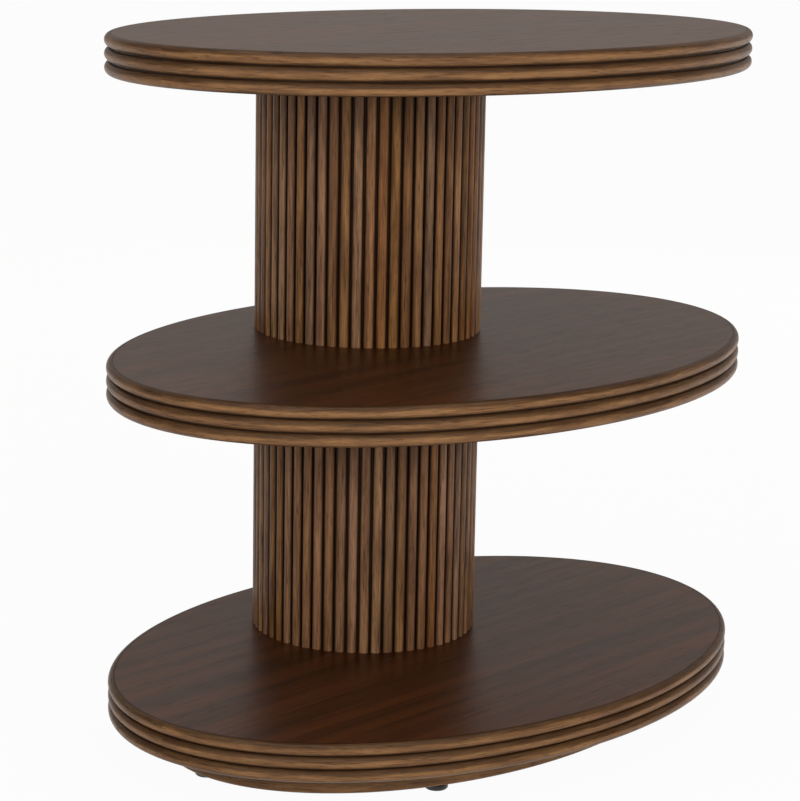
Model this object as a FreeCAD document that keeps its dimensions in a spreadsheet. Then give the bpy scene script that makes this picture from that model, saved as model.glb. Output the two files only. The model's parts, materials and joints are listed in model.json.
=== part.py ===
import FreeCAD, Part
import os
import Sketcher
from FreeCAD import Vector

# Driving sizes: millimetres, degrees and counts, one spreadsheet cell each
SIZES = {
    # Three equal oval shelves
    "shelf_length": 660,
    "shelf_depth": 468.8,
    "shelf_thick": 33.5,
    "face_veneer": 0.8,
    "backing_veneer": 0.8,
    # Moulded edge round each shelf: three beads with a narrow quirk between them
    "rim_width": 26,
    "bead_count": 3,
    "bead_depth": 4.9,
    "quirk_width": 0.9,
    "veneer_lip": 0.6,
    "tongue_thick": 8,
    "tongue_reach": 7,
    # Two reeded columns, set back from the middle of the ovals
    "column_setback": 82.8,
    "upper_column_height": 242.4,
    "lower_column_height": 245.7,
    "drum_radius": 98.6,
    "drum_wall": 9,
    "disc_thick": 18,
    "reed_width": 9.9,
    "reed_depth": 4.5,
    "reed_least_gap": 0.7,
    # Recessed oval plinth
    "plinth_inset": 47,
    "plinth_height": 25.5,
    "plinth_width": 28,
    "plinth_chamfer": 1.2,
    "plinth_seam_angle": 40.85,
    # Tie rod through the whole stack
    "rod_diameter": 10,
    "rod_clearance": 0.5,
    "rod_tail": 5,
    "hex_nut_flats": 17,
    "hex_nut_height": 8,
    "washer_diameter": 45,
    "washer_thick": 3,
    "plate_diameter": 90,
    "plate_thick": 4,
    "plate_screw_circle": 66,
    "plate_screw_count": 4,
    "plate_screw_diameter": 4.5,
    "plate_screw_head": 8.6,
    "plate_screw_length": 18,
    # Cross recess in the head of every screw
    "drive_reach": 4.4,
    "drive_slot": 1.1,
    "drive_depth": 1.9,
    # Dowels that line up the columns and shelves
    "dowel_diameter": 8,
    "dowel_spacing": 124,
    "dowel_embed": 14,
    # Screws that hold the plinth to the base shelf
    "plinth_screw_diameter": 5,
    "plinth_screw_head": 9.6,
    "plinth_screw_head_height": 3.1,
    "plinth_screw_recess": 7,
    "plinth_screw_length": 38,
    "plinth_screw_end_angle": 27.67,
    "plinth_screw_side_angle": 77.21,
    # Six screw-in levelling feet: one at each end, a little behind the middle, and one in each quarter
    "foot_setback": 12,
    "foot_angle": 56,
    "end_foot_setback": 16.8,
    "end_foot_back": 13.4,
    "pad_diameter": 20,
    "pad_height": 4.8,
    "pad_edge": 1.2,
    "pad_travel_gap": 0.7,
    "stud_diameter": 8,
    "stud_length": 24,
    "stud_head_flats": 13,
    "stud_head_height": 3.2,
    "insert_diameter": 11,
    "insert_length": 14,
    "insert_flange": 16,
    "insert_flange_thick": 1.2,
    # Fits
    "glue_line": 0.1,
    "fit_gap": 0.1,
    "running_gap": 0.05,
    "veneer_gap": 0.2,
    "bore_spare": 1.5,
    "cut_overrun": 3,
}

# Sizes worked out from the driving ones, each named once and used by every piece that meets there
DERIVED = {
    "plinth_z": "Sizes.pad_height + Sizes.pad_travel_gap",
    "base_z": "plinth_z + Sizes.plinth_height",
    "lower_column_z": "base_z + Sizes.shelf_thick",
    "middle_z": "lower_column_z + Sizes.lower_column_height",
    "upper_column_z": "middle_z + Sizes.shelf_thick",
    "top_z": "upper_column_z + Sizes.upper_column_height",
    "overall_height": "top_z + Sizes.shelf_thick",
    "blank_length": "Sizes.shelf_length + 2 * Sizes.cut_overrun",
    "blank_depth": "Sizes.shelf_depth + 2 * Sizes.cut_overrun",
    "rim_bore_length": "Sizes.shelf_length - 2 * Sizes.rim_width",
    "rim_bore_depth": "Sizes.shelf_depth - 2 * Sizes.rim_width",
    "seat_length": "Sizes.shelf_length - 2 * (Sizes.bead_depth + Sizes.veneer_lip)",
    "seat_depth": "Sizes.shelf_depth - 2 * (Sizes.bead_depth + Sizes.veneer_lip)",
    "veneer_length": "seat_length - 2 * Sizes.veneer_gap",
    "veneer_depth": "seat_depth - 2 * Sizes.veneer_gap",
    "core_length": "rim_bore_length - 2 * Sizes.glue_line",
    "core_depth": "rim_bore_depth - 2 * Sizes.glue_line",
    "core_thick": "Sizes.shelf_thick - Sizes.face_veneer - Sizes.backing_veneer",
    "groove_length": "rim_bore_length + 2 * Sizes.tongue_reach",
    "groove_depth": "rim_bore_depth + 2 * Sizes.tongue_reach",
    "groove_z": "(Sizes.shelf_thick - Sizes.tongue_thick) / 2",
    "tongue_length": "groove_length - 2 * Sizes.glue_line",
    "tongue_depth": "groove_depth - 2 * Sizes.glue_line",
    "tongue_z": "groove_z + Sizes.glue_line",
    "tongue_height": "Sizes.tongue_thick - 2 * Sizes.glue_line",
    "cutter_reach": "2 * Sizes.cut_overrun + Sizes.bead_depth",
    "bead_chord": "(Sizes.shelf_thick - (Sizes.bead_count - 1) * Sizes.quirk_width) / Sizes.bead_count",
    "bead_pitch": "bead_chord + Sizes.quirk_width",
    "bead_radius": "(bead_chord * bead_chord / 4 + Sizes.bead_depth * Sizes.bead_depth)"
                   " / (2 * Sizes.bead_depth)",
    "bead_root_x": "Sizes.shelf_length / 2 - Sizes.bead_depth",
    "disc_radius": "Sizes.drum_radius - Sizes.drum_wall - Sizes.glue_line",
    "reed_seat": "Sizes.drum_radius + Sizes.glue_line",
    "reed_count": "floor(2 * pi * reed_seat / (Sizes.reed_width + Sizes.reed_least_gap))",
    "reed_radius": "(Sizes.reed_width * Sizes.reed_width / 4 + Sizes.reed_depth * Sizes.reed_depth)"
                   " / (2 * Sizes.reed_depth)",
    "plinth_length": "Sizes.shelf_length - 2 * Sizes.plinth_inset",
    "plinth_depth": "Sizes.shelf_depth - 2 * Sizes.plinth_inset",
    "plinth_bore_length": "plinth_length - 2 * Sizes.plinth_width",
    "plinth_bore_depth": "plinth_depth - 2 * Sizes.plinth_width",
    "foot_path_x": "plinth_length / 2 - Sizes.foot_setback",
    "foot_path_y": "plinth_depth / 2 - Sizes.foot_setback",
    "end_foot_x": "plinth_length / 2 - Sizes.end_foot_setback",
    "plinth_seam_x": "foot_path_x * cos(Sizes.plinth_seam_angle)",
    "stud_z": "Sizes.pad_height - Sizes.stud_head_height",
    "foot_bore_depth": "stud_z + Sizes.stud_length + Sizes.bore_spare - plinth_z",
    "screw_seat_z": "plinth_z + Sizes.plinth_screw_recess",
    "plinth_pilot_depth": "screw_seat_z + Sizes.plinth_screw_length + Sizes.bore_spare - base_z",
    "rod_hole": "Sizes.rod_diameter + 2 * Sizes.rod_clearance",
    "anchor_nut_z": "top_z + Sizes.plate_thick",
    "anchor_pocket_circle": "Sizes.hex_nut_flats * 2 / sqrt(3) + 2 * Sizes.fit_gap",
    "anchor_pocket_depth": "Sizes.hex_nut_height + Sizes.bore_spare",
    "rod_nut_z": "base_z - Sizes.washer_thick - Sizes.hex_nut_height",
    "rod_z": "rod_nut_z - Sizes.rod_tail",
    "rod_top_z": "anchor_nut_z + Sizes.hex_nut_height",
}

TOP = "top"
MIDDLE = "middle"
BASE = "base"
SHELVES = {TOP: "top_z", MIDDLE: "middle_z", BASE: "base_z"}
COLUMNS = {
    "upper": ("upper_column_z", "Sizes.upper_column_height"),
    "lower": ("lower_column_z", "Sizes.lower_column_height"),
}
# The signs of x and y on each quarter of an oval
QUARTERS = {
    "front_left": (-1, -1),
    "front_right": (1, -1),
    "back_left": (-1, 1),
    "back_right": (1, 1),
}
# The sign of x at each end of an oval
ENDS = {"left": -1, "right": 1}
ORIGIN = Vector(0, 0, 0)

doc = FreeCAD.newDocument("side_table")
parts = []


def make_sheet():
    sheet = doc.addObject("Spreadsheet::Sheet", "Sizes")
    for row, (alias, size) in enumerate(SIZES.items(), start=1):
        sheet.set(f"A{row}", alias)
        sheet.set(f"B{row}", str(size))
        sheet.setAlias(f"B{row}", alias)
    doc.recompute()


def make_derived():
    derived = doc.addObject("App::VarSet", "Derived")
    for name in DERIVED:
        derived.addProperty("App::PropertyFloat", name)
    for name, formula in DERIVED.items():
        derived.setExpression(name, formula)
    doc.recompute()
    return derived


make_sheet()
derived = make_derived()


def bind(item, **formulas):
    for name, formula in formulas.items():
        item.setExpression(name, formula)
    return item


def place(item, x=None, y=None, z=None):
    for axis, formula in (("x", x), ("y", y), ("z", z)):
        if formula is not None:
            item.setExpression("Placement.Base." + axis, formula)
    return item


def keep(item, label):
    item.Label = label
    parts.append(item)
    return item


# Sketches and features of one body

def new_body(name, x=None, y=None, z=None):
    return place(doc.addObject("PartDesign::Body", name), x, y, z)


def new_sketch(body, name, role="XY_Plane", **offsets):
    sketch = body.newObject("Sketcher::SketchObject", body.Name + "_" + name)
    plane = next(feature for feature in body.Origin.OriginFeatures if feature.Role == role)
    sketch.AttachmentSupport = [(plane, "")]
    sketch.MapMode = "FlatFace"
    for axis, formula in offsets.items():
        sketch.setExpression("AttachmentOffset.Base." + axis, formula)
    return sketch


def constrain(sketch, name, formula, *definition):
    index = sketch.addConstraint(Sketcher.Constraint(*definition))
    sketch.renameConstraint(index, name)
    sketch.setExpression("Constraints." + name, formula)


def oval(sketch, name, length, depth):
    """closed oval about the sketch's origin, long axis along the sketch's first direction"""
    end = Vector(SIZES["shelf_length"] / 2, 0, 0)
    side = Vector(0, SIZES["shelf_depth"] / 2, 0)
    index = sketch.addGeometry(Part.Ellipse(end, side, ORIGIN), False)
    sketch.exposeInternalGeometry(index)
    sketch.addConstraint(Sketcher.Constraint("Coincident", index, 3, -1, 1))
    sketch.addConstraint(Sketcher.Constraint("Horizontal", index + 1))
    constrain(sketch, name + "_length", length, "Distance", index + 1, SIZES["shelf_length"])
    constrain(sketch, name + "_depth", depth, "Distance", index + 2, SIZES["shelf_depth"])


def circle(sketch, name, diameter, x="0", y="0"):
    start_size = SIZES["rod_diameter"]
    index = sketch.addGeometry(Part.Circle(ORIGIN, Vector(0, 0, 1), start_size), False)
    constrain(sketch, name + "_diameter", diameter, "Diameter", index, start_size)
    constrain(sketch, name + "_x", x, "DistanceX", -1, 1, index, 3, 0)
    constrain(sketch, name + "_y", y, "DistanceY", -1, 1, index, 3, 0)


def pad(body, sketch, length, name="pad"):
    feature = body.newObject("PartDesign::Pad", body.Name + "_" + name)
    feature.Profile = sketch
    feature.setExpression("Length", length)
    sketch.Visibility = False
    return feature


def pocket(body, sketch, depth, name, upward=True):
    """cut from the sketch's plane, upward or downward, to a depth"""
    feature = body.newObject("PartDesign::Pocket", body.Name + "_" + name)
    feature.Profile = sketch
    feature.Reversed = upward
    feature.setExpression("Length", depth)
    return feature


# Small pieces made of plain solids

def cylinder(name, diameter, height, x=None, y=None, z=None):
    item = bind(doc.addObject("Part::Cylinder", name), Radius=f"({diameter}) / 2", Height=height)
    return place(item, x, y, z)


def cone(name, low_diameter, high_diameter, height, x=None, y=None, z=None):
    item = doc.addObject("Part::Cone", name)
    bind(item, Radius1=f"({low_diameter}) / 2", Radius2=f"({high_diameter}) / 2", Height=height)
    return place(item, x, y, z)


def hexagon(name, flats, height, x=None, y=None, z=None):
    item = doc.addObject("Part::Prism", name)
    item.Polygon = 6
    bind(item, Circumradius=f"({flats}) / sqrt(3)", Height=height)
    return place(item, x, y, z)


def fuse(name, items):
    joined = doc.addObject("Part::MultiFuse", name)
    joined.Shapes = items
    return joined


def cut(name, base, tool):
    rest = doc.addObject("Part::Cut", name)
    rest.Base = base
    rest.Tool = tool
    return rest


def group(label, items):
    """identical pieces in one node, each still its own solid"""
    held = doc.addObject("Part::Compound", label)
    held.Links = items
    return keep(held, label)


# Where things stand

SETBACK = "Sizes.column_setback"
# Screws near the plinth's ends and near the middle of its sides, each the same in every quarter
SCREW_ANGLES = {"end": "Sizes.plinth_screw_end_angle", "side": "Sizes.plinth_screw_side_angle"}


def on_path(angle):
    """a place on the oval path under the plinth that the quarter feet and the screws share"""
    return f"Derived.foot_path_x * cos({angle})", f"Derived.foot_path_y * sin({angle})"


def signed(sign, formula):
    return f"({sign}) * ({formula})"


def plinth_screw_places():
    for kind, angle in SCREW_ANGLES.items():
        x, y = on_path(angle)
        for quarter, (sign_x, sign_y) in QUARTERS.items():
            yield f"{kind}_{quarter}", signed(sign_x, x), signed(sign_y, y)


def foot_places():
    for end, sign in ENDS.items():
        yield end, signed(sign, "Derived.end_foot_x"), "Sizes.end_foot_back"
    x, y = on_path("Sizes.foot_angle")
    for quarter, (sign_x, sign_y) in QUARTERS.items():
        yield quarter, signed(sign_x, x), signed(sign_y, y)


def dowel_holes(sketch, diameter):
    for side, sign in ENDS.items():
        circle(sketch, side + "_dowel", diameter, signed(sign, "Sizes.dowel_spacing / 2"), SETBACK)


DOWEL_HOLE = "Sizes.dowel_diameter + 2 * Sizes.fit_gap"
SCREW_HOLE = "Sizes.plinth_screw_diameter + 2 * Sizes.fit_gap"
PLATE_SCREW_HOLE = "Sizes.plate_screw_diameter + 2 * Sizes.fit_gap"


# Moulded edge: a beaded oval ring, sawn into four quarters

def bead_cutter(body):
    """outline of what the moulding cutter takes away: a straight root with the beads standing out of it"""
    sketch = new_sketch(body, "cutter", "XZ_Plane", x="Derived.bead_root_x")
    low = -SIZES["cut_overrun"]
    high = SIZES["shelf_thick"] + SIZES["cut_overrun"]
    corners = [("low_root", 0, low, "0", "-Sizes.cut_overrun")]
    for bead in range(int(SIZES["bead_count"])):
        start = bead * derived.bead_pitch
        end = start + derived.bead_chord
        formula = f"{bead} * Derived.bead_pitch"
        corners.append((f"bead{bead}", 0, start, "0", formula))
        corners.append((f"quirk{bead}", 0, end, "0", formula + " + Derived.bead_chord"))
    corners.append(("high_root", 0, high, "0", "Sizes.shelf_thick + Sizes.cut_overrun"))
    corners.append(("high_reach", derived.cutter_reach, high, "Derived.cutter_reach",
                    "Sizes.shelf_thick + Sizes.cut_overrun"))
    corners.append(("low_reach", derived.cutter_reach, low, "Derived.cutter_reach", "-Sizes.cut_overrun"))
    edges = []
    for index, (name, x, z, x_formula, z_formula) in enumerate(corners):
        next_x, next_z = corners[(index + 1) % len(corners)][1:3]
        start = Vector(x, z, 0)
        end = Vector(next_x, next_z, 0)
        if name.startswith("bead"):
            crest = Vector(SIZES["bead_depth"], (z + next_z) / 2, 0)
            edges.append(sketch.addGeometry(Part.Arc(start, crest, end), False))
        else:
            edges.append(sketch.addGeometry(Part.LineSegment(start, end), False))
    for index, (name, x, z, x_formula, z_formula) in enumerate(corners):
        edge = edges[index]
        sketch.addConstraint(Sketcher.Constraint("Coincident", edges[index - 1], 2, edge, 1))
        constrain(sketch, name + "_x", x_formula, "DistanceX", -1, 1, edge, 1, x)
        constrain(sketch, name + "_z", z_formula, "DistanceY", -1, 1, edge, 1, z)
        if name.startswith("bead"):
            constrain(sketch, name + "_radius", "Derived.bead_radius", "Radius", edge, derived.bead_radius)
    return sketch


def make_rim(shelf, level):
    body = new_body(shelf + "_rim_ring", z="Derived." + level)
    blank = new_sketch(body, "blank")
    oval(blank, "outside", "Derived.blank_length", "Derived.blank_depth")
    oval(blank, "inside", "Derived.rim_bore_length", "Derived.rim_bore_depth")
    pad(body, blank, "Sizes.shelf_thick")
    seat = new_sketch(body, "seat", z="Sizes.shelf_thick - Sizes.face_veneer")
    oval(seat, "seat", "Derived.seat_length", "Derived.seat_depth")
    pocket(body, seat, "Sizes.face_veneer + Sizes.cut_overrun", "veneer_seat")
    groove = new_sketch(body, "groove", z="Derived.groove_z")
    oval(groove, "groove", "Derived.groove_length", "Derived.groove_depth")
    pocket(body, groove, "Sizes.tongue_thick", "tongue_groove")
    path = new_sketch(body, "path")
    oval(path, "path", "Sizes.shelf_length", "Sizes.shelf_depth")
    beads = body.newObject("PartDesign::SubtractivePipe", body.Name + "_beads")
    beads.Profile = bead_cutter(body)
    beads.Spine = path
    beads.Mode = "Frenet"
    for quarter, (sign_x, sign_y) in QUARTERS.items():
        left = "0" if sign_x > 0 else "-Derived.blank_length"
        near = "0" if sign_y > 0 else "-Derived.blank_depth"
        saw_out(body, f"{shelf}_rim_{quarter}", left, near, "Derived.blank_length", "Derived.blank_depth")


# Flat layers of a shelf

def make_core(shelf, level):
    body = new_body(shelf + "_core", z="Derived." + level)
    outline = new_sketch(body, "outline", z="Sizes.backing_veneer")
    oval(outline, "outline", "Derived.core_length", "Derived.core_depth")
    pad(body, outline, "Derived.core_thick")
    tongue = new_sketch(body, "tongue", z="Derived.tongue_z")
    oval(tongue, "tongue", "Derived.tongue_length", "Derived.tongue_depth")
    pad(body, tongue, "Derived.tongue_height", "tongue")
    if shelf == TOP:
        plate = new_sketch(body, "plate_recess", z="Sizes.backing_veneer")
        circle(plate, "plate", "Sizes.plate_diameter + 2 * Sizes.fit_gap", y=SETBACK)
        pocket(body, plate, "Sizes.plate_thick - Sizes.backing_veneer", "plate_recess")
        nut = new_sketch(body, "nut_recess", z="Sizes.plate_thick")
        circle(nut, "nut", "Derived.anchor_pocket_circle", y=SETBACK)
        pocket(body, nut, "Derived.anchor_pocket_depth", "nut_recess")
        pilots = new_sketch(body, "pilots", z="Sizes.plate_thick")
        for name, x, y in plate_screw_places():
            circle(pilots, name, PLATE_SCREW_HOLE, x, y)
        pocket(body, pilots, "Sizes.plate_screw_length - Sizes.plate_thick + Sizes.bore_spare", "pilots")
    else:
        rod = new_sketch(body, "rod_hole")
        circle(rod, "rod", "Derived.rod_hole", y=SETBACK)
        pocket(body, rod, "Sizes.shelf_thick", "rod_hole")
    dowels = new_sketch(body, "dowel_holes", z="Sizes.shelf_thick" if shelf == BASE else "0")
    dowel_holes(dowels, DOWEL_HOLE)
    if shelf == MIDDLE:
        pocket(body, dowels, "Sizes.shelf_thick", "dowel_holes")
    else:
        pocket(body, dowels, "Sizes.dowel_embed + Sizes.bore_spare", "dowel_holes", shelf == TOP)
    if shelf == BASE:
        screws = new_sketch(body, "screw_pilots")
        for name, x, y in plinth_screw_places():
            circle(screws, name, SCREW_HOLE, x, y)
        pocket(body, screws, "Derived.plinth_pilot_depth", "screw_pilots")
    keep(body, shelf + "_core")


def make_face(shelf, level):
    body = new_body(shelf + "_veneer", z=f"Derived.{level} + Sizes.shelf_thick - Sizes.face_veneer")
    outline = new_sketch(body, "outline")
    oval(outline, "outline", "Derived.veneer_length", "Derived.veneer_depth")
    pad(body, outline, "Sizes.face_veneer")
    if shelf != TOP:
        holes = new_sketch(body, "holes")
        circle(holes, "rod", "Derived.rod_hole", y=SETBACK)
        dowel_holes(holes, DOWEL_HOLE)
        pocket(body, holes, "Sizes.face_veneer", "holes")
    keep(body, shelf + "_veneer")


def make_backing(shelf, level):
    body = new_body(shelf + "_backing", z="Derived." + level)
    outline = new_sketch(body, "outline")
    oval(outline, "outline", "Derived.core_length", "Derived.core_depth")
    pad(body, outline, "Sizes.backing_veneer")
    holes = new_sketch(body, "holes")
    if shelf == TOP:
        circle(holes, "plate", "Sizes.plate_diameter + 2 * Sizes.fit_gap", y=SETBACK)
    else:
        circle(holes, "rod", "Derived.rod_hole", y=SETBACK)
    if shelf == BASE:
        for name, x, y in plinth_screw_places():
            circle(holes, name, SCREW_HOLE, x, y)
    else:
        dowel_holes(holes, DOWEL_HOLE)
    pocket(body, holes, "Sizes.backing_veneer", "holes")
    keep(body, shelf + "_backing")


# Reeded column: plywood drum, end discs and half-round reeds

def make_drum(column, level, height):
    body = new_body(column + "_drum", y=SETBACK, z="Derived." + level)
    wall = new_sketch(body, "wall")
    circle(wall, "outside", "2 * Sizes.drum_radius")
    circle(wall, "inside", "2 * (Sizes.drum_radius - Sizes.drum_wall)")
    pad(body, wall, height)
    keep(body, column + "_drum")


def make_disc(column, end, level):
    body = new_body(f"{column}_{end}_disc", z=level)
    outline = new_sketch(body, "outline")
    circle(outline, "outside", "2 * Derived.disc_radius", y=SETBACK)
    circle(outline, "rod", "Derived.rod_hole", y=SETBACK)
    dowel_holes(outline, DOWEL_HOLE)
    pad(body, outline, "Sizes.disc_thick")
    keep(body, f"{column}_{end}_disc")


def make_reeds(column, level, height):
    body = new_body(column + "_reeds", y=SETBACK, z="Derived." + level)
    section = new_sketch(body, "section", x="Derived.reed_seat")
    half = SIZES["reed_width"] / 2
    low = Vector(0, -half, 0)
    high = Vector(0, half, 0)
    crown = Vector(SIZES["reed_depth"], 0, 0)
    flat = section.addGeometry(Part.LineSegment(high, low), False)
    face = section.addGeometry(Part.Arc(low, crown, high), False)
    section.addConstraint(Sketcher.Constraint("Coincident", flat, 2, face, 1))
    section.addConstraint(Sketcher.Constraint("Coincident", flat, 1, face, 2))
    section.addConstraint(Sketcher.Constraint("PointOnObject", flat, 1, -2))
    section.addConstraint(Sketcher.Constraint("Symmetric", flat, 1, flat, 2, -1, 1))
    constrain(section, "width", "Sizes.reed_width", "Distance", flat, 2 * half)
    constrain(section, "radius", "Derived.reed_radius", "Radius", face, derived.reed_radius)
    reed = pad(body, section, height, "reed")
    ring = body.newObject("PartDesign::PolarPattern", body.Name + "_ring")
    ring.Originals = [reed]
    axis = next(feature for feature in body.Origin.OriginFeatures if feature.Role == "Z_Axis")
    ring.Axis = (axis, [""])
    ring.Angle = 360
    ring.setExpression("Occurrences", "Derived.reed_count")
    body.Tip = ring
    keep(body, column + "_reeds")


# Plinth: an oval ring of four sawn pieces under the base shelf

def make_plinth():
    body = new_body("plinth_ring", z="Derived.plinth_z")
    ring = new_sketch(body, "ring")
    oval(ring, "outside", "Derived.plinth_length", "Derived.plinth_depth")
    oval(ring, "inside", "Derived.plinth_bore_length", "Derived.plinth_bore_depth")
    blank = pad(body, ring, "Sizes.plinth_height")
    doc.recompute()
    easing = body.newObject("PartDesign::Chamfer", "plinth_easing")
    easing.Base = (blank, [low_outer_edge(blank.Shape)])
    easing.setExpression("Size", "Sizes.plinth_chamfer")
    feet = new_sketch(body, "foot_bores")
    flanges = new_sketch(body, "flange_seats")
    for foot, x, y in foot_places():
        circle(feet, foot, "Sizes.insert_diameter + 2 * Sizes.fit_gap", x, y)
        circle(flanges, foot, "Sizes.insert_flange + 2 * Sizes.fit_gap", x, y)
    pocket(body, feet, "Derived.foot_bore_depth", "foot_bores")
    pocket(body, flanges, "Sizes.insert_flange_thick", "flange_seats")
    shanks = new_sketch(body, "screw_holes")
    heads = new_sketch(body, "head_seats")
    for name, x, y in plinth_screw_places():
        circle(shanks, name, SCREW_HOLE, x, y)
        circle(heads, name, "Sizes.plinth_screw_head + 2 * Sizes.fit_gap", x, y)
    pocket(body, shanks, "Sizes.plinth_height", "screw_holes")
    pocket(body, heads, "Sizes.plinth_screw_recess", "head_seats")
    seam = "Derived.plinth_seam_x"
    reach = "Derived.plinth_length - Derived.plinth_seam_x"
    depth = "Derived.plinth_depth"
    saw_out(body, "plinth_front", "-" + seam, "-" + depth, "2 * " + seam, depth)
    saw_out(body, "plinth_back", "-" + seam, "0", "2 * " + seam, depth)
    saw_out(body, "plinth_left", "-Derived.plinth_length", "-" + depth, reach, "2 * " + depth)
    saw_out(body, "plinth_right", seam, "-" + depth, reach, "2 * " + depth)


def saw_out(ring, label, x, y, length, width):
    """the piece of a ring that lies over a rectangle of the floor plan"""
    block = doc.addObject("Part::Box", label + "_block")
    bind(block, Length=length, Width=width, Height="Derived.overall_height")
    place(block, x, y)
    piece = doc.addObject("Part::Common", label)
    piece.Base = ring
    piece.Tool = block
    keep(piece, label)


def low_outer_edge(shape):
    """name of the ring's lower outside edge, the longest of those that lie flat at its foot"""
    low = [index for index, edge in enumerate(shape.Edges) if edge.CenterOfMass.z < shape.CenterOfMass.z / 2]
    longest = max(low, key=lambda index: shape.Edges[index].Length)
    return f"Edge{longest + 1}"


# Hardware

def cross_recess(name, x, y, z):
    """two crossed slots, upward from the head's outer face at height z"""
    slots = []
    for arm, (long, wide) in {"along": ("reach", "slot"), "across": ("slot", "reach")}.items():
        slot = doc.addObject("Part::Box", f"{name}_{arm}")
        bind(slot, Length="Sizes.drive_" + long, Width="Sizes.drive_" + wide, Height="Sizes.drive_depth")
        slots.append(place(slot, f"{x} - Sizes.drive_{long} / 2", f"{y} - Sizes.drive_{wide} / 2", z))
    return fuse(name, slots)


def screw(name, diameter, head, length, x, y, z):
    """countersunk screw, head down at height z, shank upward"""
    taper = f"(({head}) - ({diameter})) / 2"
    bevel = cone(name + "_head", head, diameter, taper, x, y, z)
    shank = cylinder(name + "_shank", diameter, length, x, y, z)
    return cut(name, fuse(name + "_blank", [bevel, shank]), cross_recess(name + "_drive", x, y, z))


def plate_screw_places():
    for index in range(int(SIZES["plate_screw_count"])):
        angle = f"((360 * {index} + 180) / Sizes.plate_screw_count)"
        x = f"Sizes.plate_screw_circle / 2 * cos({angle})"
        y = f"Sizes.column_setback + Sizes.plate_screw_circle / 2 * sin({angle})"
        yield f"plate_screw{index}", x, y


def nut(label, z):
    blank = hexagon(label + "_blank", "Sizes.hex_nut_flats", "Sizes.hex_nut_height", y=SETBACK, z=z)
    bore = cylinder(label + "_bore", "Sizes.rod_diameter + 2 * Sizes.running_gap", "Sizes.hex_nut_height",
                    y=SETBACK, z=z)
    keep(cut(label, blank, bore), label)


def make_tie():
    rod_length = "Derived.rod_top_z - Derived.rod_z"
    keep(cylinder("tie_rod", "Sizes.rod_diameter", rod_length, y=SETBACK, z="Derived.rod_z"), "tie_rod")
    nut("anchor_nut", "Derived.anchor_nut_z")
    nut("tie_nut", "Derived.rod_nut_z")
    washer_z = "Derived.base_z - Sizes.washer_thick"
    washer = cylinder("washer_blank", "Sizes.washer_diameter", "Sizes.washer_thick", y=SETBACK, z=washer_z)
    hole = cylinder("washer_hole", "Derived.rod_hole", "Sizes.washer_thick", y=SETBACK, z=washer_z)
    keep(cut("tie_washer", washer, hole), "tie_washer")
    plate = cylinder("plate_blank", "Sizes.plate_diameter", "Sizes.plate_thick", y=SETBACK, z="Derived.top_z")
    holes = [cylinder("plate_hole", "Derived.rod_hole", "Sizes.plate_thick", y=SETBACK, z="Derived.top_z")]
    screws = []
    for name, x, y in plate_screw_places():
        holes.append(screw_seat(name, x, y))
        screws.append(screw(name, "Sizes.plate_screw_diameter", "Sizes.plate_screw_head",
                            "Sizes.plate_screw_length", x, y, "Derived.top_z"))
    keep(cut("anchor_plate", plate, fuse("plate_holes", holes)), "anchor_plate")
    group("anchor_screws", screws)


def screw_seat(name, x, y):
    """countersunk hole in the plate, a fit gap wider than the screw all over"""
    head = "Sizes.plate_screw_head + 2 * Sizes.fit_gap"
    taper = "(Sizes.plate_screw_head - Sizes.plate_screw_diameter) / 2"
    bevel = cone(name + "_seat", head, PLATE_SCREW_HOLE, taper, x, y, "Derived.top_z")
    hole = cylinder(name + "_hole", PLATE_SCREW_HOLE, "Sizes.plate_thick", x, y, "Derived.top_z")
    return fuse(name + "_opening", [bevel, hole])


def make_dowels():
    through = "Sizes.shelf_thick + 2 * Sizes.dowel_embed"
    blind = "2 * Sizes.dowel_embed"
    rows = (
        ("top_dowels", blind, "Derived.top_z - Sizes.dowel_embed"),
        ("middle_dowels", through, "Derived.middle_z - Sizes.dowel_embed"),
        ("base_dowels", blind, "Derived.lower_column_z - Sizes.dowel_embed"),
    )
    for label, length, z in rows:
        pair = []
        for side, sign in ENDS.items():
            x = signed(sign, "Sizes.dowel_spacing / 2")
            pair.append(cylinder(f"{label}_{side}", "Sizes.dowel_diameter", length, x, SETBACK, z))
        group(label, pair)


def make_plinth_screws():
    """pan-head screws, their heads down in the plinth's counterbores"""
    screws = []
    for place_name, x, y in plinth_screw_places():
        name = "plinth_screw_" + place_name
        low = "Derived.screw_seat_z - Sizes.plinth_screw_head_height"
        head = cylinder(name + "_head", "Sizes.plinth_screw_head", "Sizes.plinth_screw_head_height", x, y, low)
        shank = cylinder(name + "_shank", "Sizes.plinth_screw_diameter", "Sizes.plinth_screw_length", x, y,
                         "Derived.screw_seat_z")
        blank = fuse(name + "_blank", [head, shank])
        screws.append(cut(name, blank, cross_recess(name + "_drive", x, y, low)))
    group("plinth_screws", screws)


# Levelling feet: a threaded insert in the plinth, and a stud with a moulded pad

def make_feet():
    inserts = []
    for foot, x, y in foot_places():
        inserts.append(make_insert(foot, x, y))
        stud = cylinder(f"{foot}_shank", "Sizes.stud_diameter", "Sizes.stud_length", x, y, "Derived.stud_z")
        head = hexagon(f"{foot}_head", "Sizes.stud_head_flats", "Sizes.stud_head_height", x, y,
                       "Derived.stud_z")
        keep(fuse(f"foot_{foot}_stud", [stud, head]), f"foot_{foot}_stud")
        make_pad(foot, x, y)
    group("foot_inserts", inserts)


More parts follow.
